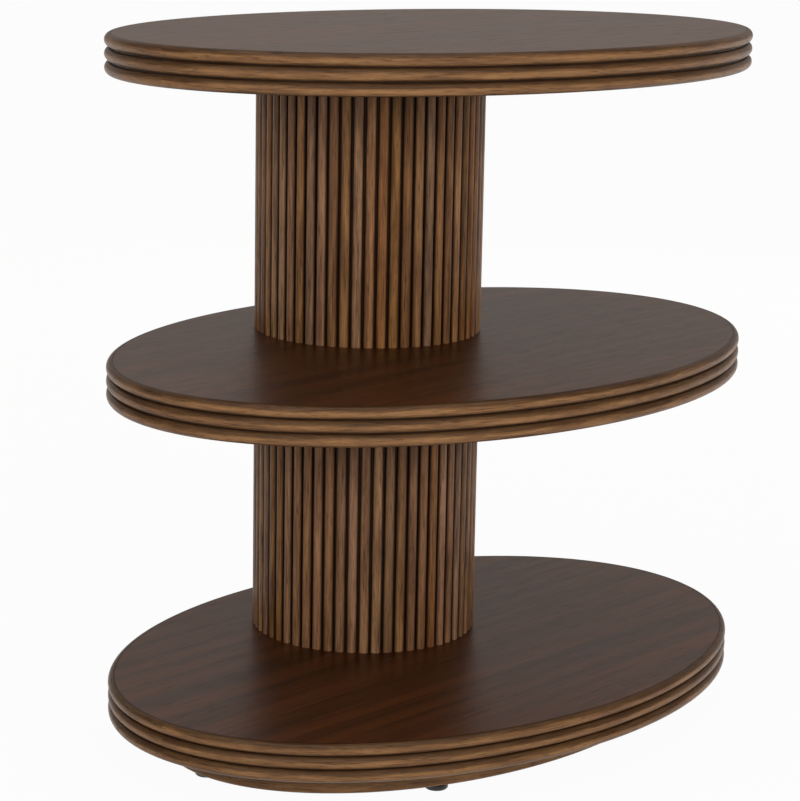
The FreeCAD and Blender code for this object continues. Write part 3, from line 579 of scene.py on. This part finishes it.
def drum_material(wood):
    """Bent beech plywood, brown stain outside: thin plies show at the ends and in the bore"""
    low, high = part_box("upper_drum")
    outer = (high.x - low.x) / 2
    material, tree, shader = new_material("stained_bent_plywood", {"Roughness": PLYWOOD_ROUGHNESS})
    radius = round_column(tree, (high.y + low.y) / 2)[2]
    counted = node(tree, "ShaderNodeMath", {0: radius, 1: 1 / PLY}, operation="MULTIPLY").outputs[0]
    sweep = node(tree, "ShaderNodeMath", {0: counted, 1: 1.0}, operation="PINGPONG").outputs[0]
    plies = node(tree, "ShaderNodeMapRange",
                 {"Value": sweep, "From Min": PLY_EDGE[0], "From Max": PLY_EDGE[1]}).outputs[0]
    raw = node(tree, "ShaderNodeMix",
               {MIX_FACTOR: plies, MIX_FIRST: opaque(wood.beech), MIX_SECOND: opaque(wood.board)},
               data_type="RGBA").outputs[MIX_COLOUR]
    outside = node(tree, "ShaderNodeMath", {0: radius, 1: outer - STAIN_DEPTH}, operation="GREATER_THAN"
                   ).outputs[0]
    tone = node(tree, "ShaderNodeMix", {MIX_FACTOR: outside, MIX_FIRST: raw, MIX_SECOND: opaque(wood.drum)},
                data_type="RGBA").outputs[MIX_COLOUR]
    tree.links.new(tone, shader.inputs["Base Color"])
    return material


def board_material(wood):
    """Medium-density fibreboard, raw: felted fibres in slightly different browns, matt"""
    material, tree, shader = new_material("raw_fibreboard", {"Roughness": BOARD_ROUGHNESS})
    place = node(tree, "ShaderNodeTexCoord").outputs["Object"]
    fibres = node(tree, "ShaderNodeTexNoise", {"Vector": place, "Scale": 1 / FIBRE, "Detail": FIBRE_DETAIL}
                  ).outputs[0]
    blend = node(tree, "ShaderNodeMapRange",
                 {"Value": fibres, "From Min": FIBRE_RANGE[0], "From Max": FIBRE_RANGE[1]}).outputs[0]
    darker = [part * FIBRE_SHADE for part in wood.board]
    tone = node(tree, "ShaderNodeMix",
                {MIX_FACTOR: blend, MIX_FIRST: opaque(darker), MIX_SECOND: opaque(wood.board)},
                data_type="RGBA").outputs[MIX_COLOUR]
    tree.links.new(tone, shader.inputs["Base Color"])
    relief = node(tree, "ShaderNodeBump", {"Height": fibres, "Distance": FIBRE_RELIEF})
    tree.links.new(relief.outputs["Normal"], shader.inputs["Normal"])
    return material


def dowel_material(wood):
    """Turned beech, raw: fine flecks along the dowel"""
    material, tree, shader = new_material("raw_beech_dowel", {"Roughness": DOWEL_ROUGHNESS})
    place = node(tree, "ShaderNodeTexCoord").outputs["Object"]
    stretched = node(tree, "ShaderNodeMapping",
                     {"Vector": place, "Scale": (1 / FLECK_WIDTH, 1 / FLECK_WIDTH, 1 / FLECK_RUN)}
                     ).outputs[0]
    flecks = node(tree, "ShaderNodeTexNoise", {"Vector": stretched, "Scale": 1.0, "Detail": FLECK_DETAIL}
                  ).outputs[0]
    blend = node(tree, "ShaderNodeMapRange",
                 {"Value": flecks, "From Min": FLECK_RANGE[0], "From Max": FLECK_RANGE[1]}).outputs[0]
    darker = [part * FLECK_SHADE for part in wood.beech]
    tone = node(tree, "ShaderNodeMix",
                {MIX_FACTOR: blend, MIX_FIRST: opaque(wood.beech), MIX_SECOND: opaque(darker)},
                data_type="RGBA").outputs[MIX_COLOUR]
    tree.links.new(tone, shader.inputs["Base Color"])
    return material


# Fittings

def plated_material(name, plate, tint, roughness):
    """Zinc plating on steel, or a die-cast zinc alloy, passivated: bright grey with a faint yellow bloom
    and soft blurred reflections"""
    material, tree, shader = new_material(name, {"Metallic": 1.0})
    place = node(tree, "ShaderNodeTexCoord").outputs["Object"]
    bloom = node(tree, "ShaderNodeTexNoise", {"Vector": place, "Scale": 1 / BLOOM, "Detail": BLOOM_DETAIL}
                 ).outputs[0]
    tone = node(tree, "ShaderNodeMix",
                {MIX_FACTOR: bloom, MIX_FIRST: opaque(plate), MIX_SECOND: opaque(tint)},
                data_type="RGBA").outputs[MIX_COLOUR]
    tree.links.new(tone, shader.inputs["Base Color"])
    grain = node(tree, "ShaderNodeTexNoise",
                 {"Vector": place, "Scale": 1 / PLATE_GRAIN, "Detail": PLATE_DETAIL}).outputs[0]
    dull = node(tree, "ShaderNodeMapRange", {"Value": grain, "To Min": roughness - ROUGHNESS_SPREAD,
                                             "To Max": roughness + ROUGHNESS_SPREAD}).outputs[0]
    tree.links.new(dull, shader.inputs["Roughness"])
    relief = node(tree, "ShaderNodeBump", {"Height": grain, "Distance": PLATE_RELIEF})
    tree.links.new(relief.outputs["Normal"], shader.inputs["Normal"])
    return material


def nylon_material(fittings):
    """Black nylon 6, injection moulded in a spark-eroded tool: deep black with a fine even texture"""
    material, tree, shader = new_material("moulded_black_nylon", {"Roughness": NYLON_ROUGHNESS})
    place = node(tree, "ShaderNodeTexCoord").outputs["Object"]
    texture = node(tree, "ShaderNodeTexVoronoi", {"Vector": place, "Scale": 1 / SPARK_GRIT}
                   ).outputs["Distance"]
    lifted = [part + SPARK_LIFT for part in fittings.nylon]
    tone = node(tree, "ShaderNodeMix",
                {MIX_FACTOR: texture, MIX_FIRST: opaque(fittings.nylon), MIX_SECOND: opaque(lifted)},
                data_type="RGBA").outputs[MIX_COLOUR]
    tree.links.new(tone, shader.inputs["Base Color"])
    relief = node(tree, "ShaderNodeBump", {"Height": texture, "Distance": SPARK_RELIEF})
    tree.links.new(relief.outputs["Normal"], shader.inputs["Normal"])
    return material


def everything(bm):
    return bm.verts[:] + bm.edges[:] + bm.faces[:]


def only(kind, items):
    return [item for item in items if isinstance(item, kind)]


def upright_axis(low, high):
    """foot of the upright line through the middle of a box"""
    return Vector(((low.x + high.x) / 2, (low.y + high.y) / 2, 0))


def threaded_bar(centre, low, high, radius, pitch, depth):
    """one continuous rolled thread between two heights, its ends cut square and chamfered"""
    bm = bmesh.new()
    turns = math.ceil((high - low) / pitch) + 2
    start = low - pitch
    root, crest, next_root = (
        bm.verts.new(centre + Vector((radius - depth, 0, start))),
        bm.verts.new(centre + Vector((radius, 0, start + pitch / 2))),
        bm.verts.new(centre + Vector((radius - depth, 0, start + pitch))),
    )
    flanks = [bm.edges.new((root, crest)), bm.edges.new((crest, next_root))]
    bmesh.ops.spin(bm, geom=[root, crest, next_root, *flanks], cent=centre, axis=(0, 0, 1),
                   dvec=(0, 0, pitch / THREAD_STEPS), angle=FULL_TURN, steps=THREAD_STEPS, use_merge=False)
    cut_turns = 1
    while cut_turns < turns:
        copied = bmesh.ops.duplicate(bm, geom=everything(bm))["geom"]
        bmesh.ops.translate(bm, verts=only(bmesh.types.BMVert, copied), vec=(0, 0, pitch * cut_turns))
        cut_turns *= 2
    bmesh.ops.remove_doubles(bm, verts=bm.verts, dist=MERGE_DISTANCE)
    for height, normal in ((low, -1), (high, 1)):
        bmesh.ops.bisect_plane(bm, geom=everything(bm), plane_co=(0, 0, height), plane_no=(0, 0, normal),
                               clear_outer=True)
    bmesh.ops.holes_fill(bm, edges=[edge for edge in bm.edges if edge.is_boundary])
    for vert in bm.verts:
        limit = radius - depth + min(vert.co.z - low, high - vert.co.z)
        offset = vert.co - centre
        reach = math.hypot(offset.x, offset.y)
        if reach > limit:
            vert.co.x = centre.x + offset.x * limit / reach
            vert.co.y = centre.y + offset.y * limit / reach
    bmesh.ops.dissolve_degenerate(bm, dist=MERGE_DISTANCE, edges=bm.edges)
    return bm


def add_hexagon(bm, axis, low, across_corners, height):
    """a hexagon head that stands on a height"""
    middle = axis + Vector((0, 0, low + height / 2))
    bmesh.ops.create_cone(bm, cap_ends=True, segments=HEXAGON, radius1=across_corners / 2,
                          radius2=across_corners / 2, depth=height, matrix=Matrix.Translation(middle))


def chamfer_corners(bm, centre, radius, face_height, outward):
    """cuts the corners of a hexagon back to a cone, as a nut is turned before it is tapped"""
    for side in range(CHAMFER_SIDES):
        turn = FULL_TURN * side / CHAMFER_SIDES
        away = Vector((math.cos(turn), math.sin(turn), 0))
        on_face = Vector((centre.x, centre.y, face_height)) + away * radius
        normal = away * math.sin(CHAMFER_ANGLE)
        normal.z = outward * math.cos(CHAMFER_ANGLE)
        cut = bmesh.ops.bisect_plane(bm, geom=everything(bm), plane_co=on_face, plane_no=normal,
                                     clear_outer=True)
        edges = only(bmesh.types.BMEdge, cut["geom_cut"])
        if edges:
            bmesh.ops.holes_fill(bm, edges=edges)


def ring_edges(bm, centre, radius, height):
    """edges of a circle about a centre at a height"""
    return [edge for edge in bm.edges
            if all(abs(vert.co.z - height) < OFF_CIRCLE
                   and abs(math.hypot(vert.co.x - centre.x, vert.co.y - centre.y) - radius) < OFF_CIRCLE
                   for vert in edge.verts)]


def round_edges(bm, edges, size):
    bmesh.ops.bevel(bm, geom=edges, offset=size, offset_type="OFFSET", segments=ROUNDING_STEPS, profile=0.5,
                    affect="EDGES", clamp_overlap=True, material=-1)


def loose_parts(bm):
    """the vertices of each separate shell"""
    seen = set()
    parts = []
    for start in bm.verts:
        if start in seen:
            continue
        seen.add(start)
        part = [start]
        for vert in part:
            for edge in vert.link_edges:
                other = edge.other_vert(vert)
                if other not in seen:
                    seen.add(other)
                    part.append(other)
        parts.append(part)
    return parts


def lower_rim(bm, shell):
    """edges of the circle round the flat lower end of a shell"""
    low = min(vert.co.z for vert in shell)
    end = [vert.co for vert in shell if vert.co.z < low + MERGE_DISTANCE]
    centre = Vector([(min(place[axis] for place in end) + max(place[axis] for place in end)) / 2
                     for axis in range(3)])
    radius = max((place - centre).length for place in end)
    return ring_edges(bm, centre, radius, low)


class SIDETABLE_OT_shelf_faces(bpy.types.Operator):
    """Finish the veneered faces and backings of the three shelves"""
    bl_idname = "side_table.shelf_faces"
    bl_label = "Shelf faces"

    def execute(self, context):
        material = shelf_face_material(context.scene.side_table_wood)
        finish([f"{shelf}_{layer}" for shelf in SHELVES for layer in ("veneer", "backing")], material)
        return {"FINISHED"}


class SIDETABLE_OT_edge_mouldings(bpy.types.Operator):
    """Finish the beaded mouldings round the shelves"""
    bl_idname = "side_table.edge_mouldings"
    bl_label = "Edge mouldings"

    def execute(self, context):
        for shelf in SHELVES:
            material = moulding_material(shelf, context.scene.side_table_wood)
            finish([f"{shelf}_rim_{quarter}" for quarter in QUARTERS], material)
        return {"FINISHED"}


class SIDETABLE_OT_plinth(bpy.types.Operator):
    """Finish the four pieces of the plinth"""
    bl_idname = "side_table.plinth"
    bl_label = "Plinth"

    def execute(self, context):
        material = plinth_material(context.scene.side_table_wood)
        finish([f"plinth_{side}" for side in PLINTH_SIDES], material)
        return {"FINISHED"}


class SIDETABLE_OT_reeds(bpy.types.Operator):
    """Finish the reeds of both columns"""
    bl_idname = "side_table.reeds"
    bl_label = "Reeds"

    def execute(self, context):
        finish([column + "_reeds" for column in COLUMNS], reed_material(context.scene.side_table_wood))
        return {"FINISHED"}


class SIDETABLE_OT_inner_boards(bpy.types.Operator):
    """Finish the drums, core boards, discs and dowels inside"""
    bl_idname = "side_table.inner_boards"
    bl_label = "Inner boards"

    def execute(self, context):
        wood = context.scene.side_table_wood
        finish([column + "_drum" for column in COLUMNS], drum_material(wood))
        boards = [shelf + "_core" for shelf in SHELVES]
        boards += [f"{column}_{end}_disc" for column in COLUMNS for end in COLUMN_ENDS]
        finish(boards, board_material(wood))
        finish([level + "_dowels" for level in SHELVES], dowel_material(wood))
        return {"FINISHED"}


class SIDETABLE_OT_threaded_bars(bpy.types.Operator):
    """Cut the threads of the tie rod and of the levelling studs"""
    bl_idname = "side_table.threaded_bars"
    bl_label = "Threaded bars"

    def execute(self, context):
        fittings = context.scene.side_table_fittings
        material = plated_material("zinc_plated_threads", fittings.zinc, fittings.passivation,
                                   THREAD_ROUGHNESS)
        low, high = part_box("tie_rod")
        bar = threaded_bar(upright_axis(low, high), low.z, high.z, (high.x - low.x) / 2,
                           fittings.rod_pitch, fittings.thread_depth)
        stand_for("tie_rod", bar, material)
        for foot in FEET:
            packed = f"foot_{foot}_stud"
            low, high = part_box(packed)
            axis = upright_axis(low, high)
            bar = threaded_bar(axis, low.z + STUD_HEAD, high.z, STUD_RADIUS, fittings.stud_pitch,
                               fittings.thread_depth)
            add_hexagon(bar, axis, low.z, high.x - low.x, STUD_HEAD)
            stand_for(packed, bar, material)
        return {"FINISHED"}


class SIDETABLE_OT_hex_nuts(bpy.types.Operator):
    """Turn the chamfers of the tie nut and the anchor nut"""
    bl_idname = "side_table.hex_nuts"
    bl_label = "Hex nuts"

    def execute(self, context):
        fittings = context.scene.side_table_fittings
        material = plated_material("zinc_plated_nuts", fittings.zinc, fittings.passivation, NUT_ROUGHNESS)
        for packed in ("tie_nut", "anchor_nut"):
            low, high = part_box(packed)
            flats = min(high.x - low.x, high.y - low.y)
            bm = merged_copy(packed)
            for height, outward in ((low.z, -1), (high.z, 1)):
                chamfer_corners(bm, (low + high) / 2, flats / 2 * CHAMFER_START, height, outward)
            stand_for(packed, bm, material)
        return {"FINISHED"}


class SIDETABLE_OT_screws(bpy.types.Operator):
    """Round the pan heads of the plinth screws and plate all screws"""
    bl_idname = "side_table.screws"
    bl_label = "Screws"

    def execute(self, context):
        fittings = context.scene.side_table_fittings
        material = plated_material("zinc_plated_screws", fittings.zinc, fittings.passivation,
                                   SCREW_ROUGHNESS)
        finish(["anchor_screws"], material)
        bm = merged_copy("plinth_screws")
        rims = [edge for screw in loose_parts(bm) for edge in lower_rim(bm, screw)]
        if not rims:
            raise RuntimeError("the plinth screws have no round heads")
        round_edges(bm, rims, fittings.head_rounding)
        stand_for("plinth_screws", bm, material)
        return {"FINISHED"}


class SIDETABLE_OT_plates(bpy.types.Operator):
    """Finish the anchor plate, the tie washer and the threaded inserts"""
    bl_idname = "side_table.plates"
    bl_label = "Plates and inserts"

    def execute(self, context):
        fittings = context.scene.side_table_fittings
        plate = plated_material("zinc_plated_plates", fittings.zinc, fittings.passivation, PLATE_ROUGHNESS)
        insert = plated_material("die_cast_zinc_inserts", fittings.alloy, fittings.passivation,
                                 INSERT_ROUGHNESS)
        finish(["anchor_plate", "tie_washer"], plate)
        finish(["foot_inserts"], insert)
        return {"FINISHED"}


class SIDETABLE_OT_foot_pads(bpy.types.Operator):
    """Mould the rounded pads of the levelling feet"""
    bl_idname = "side_table.foot_pads"
    bl_label = "Foot pads"

    def execute(self, context):
        fittings = context.scene.side_table_fittings
        material = nylon_material(fittings)
        for foot in FEET:
            packed = f"foot_{foot}_pad"
            low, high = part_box(packed)
            bm = merged_copy(packed)
            edges = ring_edges(bm, (low + high) / 2, (high.x - low.x) / 2, high.z)
            if not edges:
                raise RuntimeError(packed + " has no round top edge")
            round_edges(bm, edges, fittings.pad_rounding)
            stand_for(packed, bm, material)
        return {"FINISHED"}


# Stage

def backward(azimuth, elevation=0.0):
    """direction from the table to a camera at these angles"""
    return Vector((math.sin(azimuth) * math.cos(elevation), -math.cos(azimuth) * math.cos(elevation),
                   math.sin(elevation)))


def camera_matrix(stage):
    place = Vector((0, 0, stage.aim_height)) + backward(stage.azimuth, stage.elevation) * stage.distance
    azimuth = stage.azimuth + stage.pan
    back = backward(azimuth, stage.elevation + stage.tilt)
    right = Vector((math.cos(azimuth), math.sin(azimuth), 0))
    up = back.cross(right)
    rolled_right = right * math.cos(stage.roll) + up * math.sin(stage.roll)
    rolled_up = up * math.cos(stage.roll) - right * math.sin(stage.roll)
    turn = Matrix((rolled_right, rolled_up, back)).transposed().to_4x4()
    return Matrix.Translation(place) @ turn


class SIDETABLE_OT_stage(bpy.types.Operator):
    """Set the pale floor, the soft boxes, the grey room and the camera"""
    bl_idname = "side_table.stage"
    bl_label = "Stage"

    def execute(self, context):
        stage = context.scene.side_table_stage
        self.lay_floor(stage)
        self.set_room(context, stage)
        self.hang_lamps(context, stage)
        lens = bpy.data.cameras.new("camera")
        lens.lens = stage.lens
        camera = bpy.data.objects.new("camera", lens)
        context.scene.collection.objects.link(camera)
        camera.matrix_world = camera_matrix(stage)
        context.scene.camera = camera
        context.scene.view_settings.view_transform = "Standard"
        return {"FINISHED"}

    def lay_floor(self, stage):
        material, tree, shader = new_material("pale_studio_floor", {"Roughness": FLOOR_ROUGHNESS,
                                                                    "Specular IOR Level": 0.0})
        place = node(tree, "ShaderNodeTexCoord").outputs["Object"]
        patch = node(tree, "ShaderNodeTexNoise", {"Vector": place, "Scale": 1 / FLOOR_PATCH}).outputs[0]
        paler = [min(1, part * FLOOR_PATCH_SHARE) for part in stage.floor_colour]
        tone = node(tree, "ShaderNodeMix",
                    {MIX_FACTOR: patch, MIX_FIRST: opaque(stage.floor_colour), MIX_SECOND: opaque(paler)},
                    data_type="RGBA").outputs[MIX_COLOUR]
        tree.links.new(tone, shader.inputs["Base Color"])
        ray = node(tree, "ShaderNodeLightPath")
        seen = node(tree, "ShaderNodeMath",
                    {0: ray.outputs["Is Camera Ray"], 1: ray.outputs["Is Glossy Ray"]},
                    operation="ADD").outputs[0]
        shown = node(tree, "ShaderNodeMath", {0: seen, 1: ray.outputs["Is Transmission Ray"]},
                     operation="ADD", use_clamp=True).outputs[0]
        glow = node(tree, "ShaderNodeMath", {0: shown, 1: FLOOR_GLOW}, operation="MULTIPLY").outputs[0]
        white = node(tree, "ShaderNodeEmission", {"Color": (1, 1, 1, 1), "Strength": 1.0}).outputs[0]
        mixed = node(tree, "ShaderNodeMixShader", {0: glow, 1: shader.outputs[0], 2: white}).outputs[0]
        tree.links.new(mixed, tree.nodes["Material Output"].inputs["Surface"])
        bm = bmesh.new()
        bmesh.ops.create_grid(bm, x_segments=1, y_segments=1, size=stage.floor_size / 2)
        new_piece("floor", bm, material)

    def set_room(self, context, stage):
        world = bpy.data.worlds.new("room")
        context.scene.world = world
        world.use_nodes = True
        tree = world.node_tree
        direction = node(tree, "ShaderNodeTexCoord").outputs["Generated"]
        towards = node(tree, "ShaderNodeVectorMath", {0: direction, 1: backward(stage.azimuth)},
                       operation="DOT_PRODUCT").outputs["Value"]
        in_front = node(tree, "ShaderNodeMapRange",
                        {"Value": towards, "From Min": ROOM_BRIGHT, "From Max": ROOM_DIM},
                        interpolation_type="SMOOTHSTEP").outputs[0]
        dim = [part * stage.front_share for part in stage.room]
        tone = node(tree, "ShaderNodeMix",
                    {MIX_FACTOR: in_front, MIX_FIRST: opaque(stage.room), MIX_SECOND: opaque(dim)},
                    data_type="RGBA").outputs[MIX_COLOUR]
        tree.links.new(tone, tree.nodes["Background"].inputs["Color"])

    def hang_lamps(self, context, stage):
        view = backward(stage.azimuth)
        side = Vector((-view.y, view.x, 0))
        ceiling = bpy.data.lights.new("ceiling_light", "SUN")
        ceiling.energy = stage.ceiling
        ceiling.angle = CEILING_ANGLE
        self.aim_lamp(context, ceiling, view * CEILING_FORWARD + Vector((0, 0, CEILING_HEIGHT)))
        powers = {"left_box": stage.left_power, "right_box": stage.right_power, "back_box": stage.back_power}
        for name, (towards, sideways) in BOXES.items():
            box = bpy.data.lights.new(name, "AREA")
            box.shape = "RECTANGLE"
            box.size = BOX_WIDTH
            box.size_y = BOX_DEPTH
            box.energy = powers[name]
            place = view * towards + side * sideways + Vector((0, 0, BOX_HEIGHT))
            # Seen from behind the table, the faces would mirror the boxes as a white glare
            self.aim_lamp(context, box, place).visible_glossy = False

    def aim_lamp(self, context, data, place):
        lamp = bpy.data.objects.new(data.name, data)
        context.scene.collection.objects.link(lamp)
        aim = Vector((0, 0, LAMP_AIM)) - place
        lamp.matrix_world = Matrix.Translation(place) @ aim.to_track_quat("-Z", "Y").to_matrix().to_4x4()
        lamp.visible_camera = False
        return lamp


class SIDETABLE_PT_panel(bpy.types.Panel):
    """Lists the table's finishing steps and their settings"""
    bl_idname = "SIDETABLE_PT_panel"
    bl_label = "Side Table"
    bl_space_type = "VIEW_3D"
    bl_region_type = "UI"
    bl_category = "Side Table"

    def draw(self, context):
        for step in STEPS:
            self.layout.operator(step.bl_idname)
        for group in GROUPS:
            settings = getattr(context.scene, group)
            box = self.layout.box()
            for name in settings.__annotations__:
                box.prop(settings, name)


GROUPS = {
    "side_table_wood": SideTableWood,
    "side_table_fittings": SideTableFittings,
    "side_table_stage": SideTableStage,
}
STEPS = (
    SIDETABLE_OT_shelf_faces,
    SIDETABLE_OT_edge_mouldings,
    SIDETABLE_OT_plinth,
    SIDETABLE_OT_reeds,
    SIDETABLE_OT_inner_boards,
    SIDETABLE_OT_threaded_bars,
    SIDETABLE_OT_hex_nuts,
    SIDETABLE_OT_screws,
    SIDETABLE_OT_plates,
    SIDETABLE_OT_foot_pads,
    SIDETABLE_OT_stage,
)


def register():
    for item in (*GROUPS.values(), *STEPS, SIDETABLE_PT_panel):
        bpy.utils.register_class(item)
    for name, group in GROUPS.items():
        setattr(bpy.types.Scene, name, PointerProperty(type=group))


def unregister():
    for name in GROUPS:
        delattr(bpy.types.Scene, name)
    for item in reversed((*GROUPS.values(), *STEPS, SIDETABLE_PT_panel)):
        bpy.utils.unregister_class(item)


def main():
    register()
    bpy.ops.side_table.shelf_faces()
    bpy.ops.side_table.edge_mouldings()
    bpy.ops.side_table.plinth()
    bpy.ops.side_table.reeds()
    bpy.ops.side_table.inner_boards()
    bpy.ops.side_table.threaded_bars()
    bpy.ops.side_table.hex_nuts()
    bpy.ops.side_table.screws()
    bpy.ops.side_table.plates()
    bpy.ops.side_table.foot_pads()
    bpy.ops.side_table.stage()


if __name__ == "__main__":
    main()
